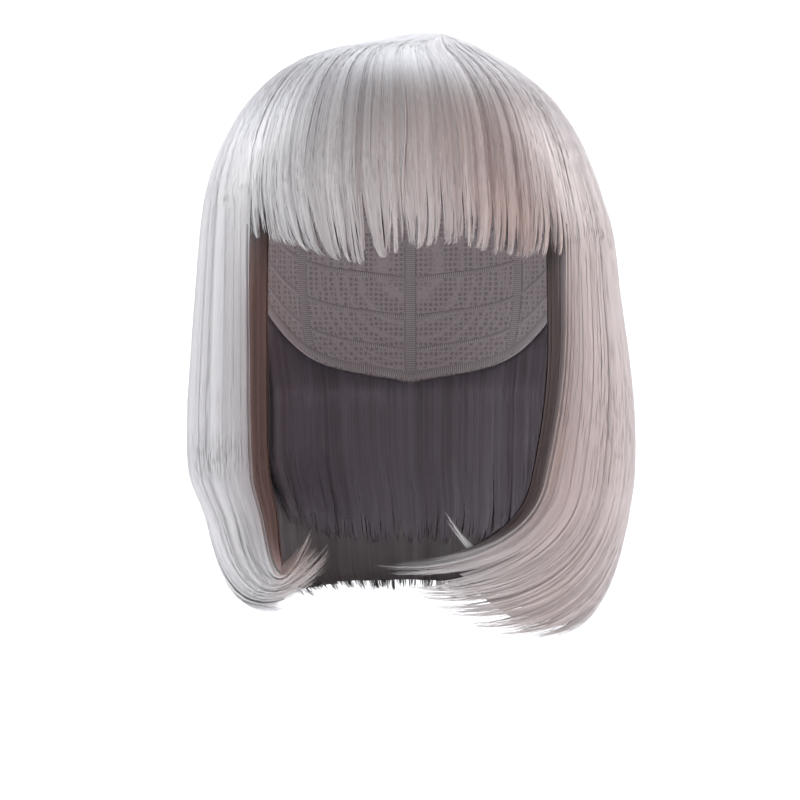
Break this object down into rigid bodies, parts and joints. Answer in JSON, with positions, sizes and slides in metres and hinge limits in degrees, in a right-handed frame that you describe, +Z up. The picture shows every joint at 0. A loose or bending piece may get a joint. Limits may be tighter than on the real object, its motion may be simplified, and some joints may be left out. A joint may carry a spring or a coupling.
{
  "type": "bob wig",
  "caption": "Chin-length bob wig with a full fringe and ends curled under, sewn in sheets of locks on a thin open cap.",
  "frame": {"origin": "inside top of the cap, the point that rests on the crown of the wearer", "axes": "+Z up, -Y towards the front (the fringe), +X towards the wearer's left"},
  "size_m": [0.2013, 0.2254, 0.2715],
  "materials": {
    "hair": "silver-lavender synthetic hair fibre, straight, with a soft gloss",
    "shaded_hair": "the same fibre, deeper in colour, in the layer under the hair at the nape",
    "cap_net": "pale elastic net with sewn rows of hair"
  },
  "bodies": {
    "root": {"wig_cap": "cap_net", "crown_whorl": "hair", "fringe": "hair", "side_hair_left": "hair", "side_hair_right": "hair", "back_hair": "hair", "nape_hair": "shaded_hair"}
  },
  "joints": []
}
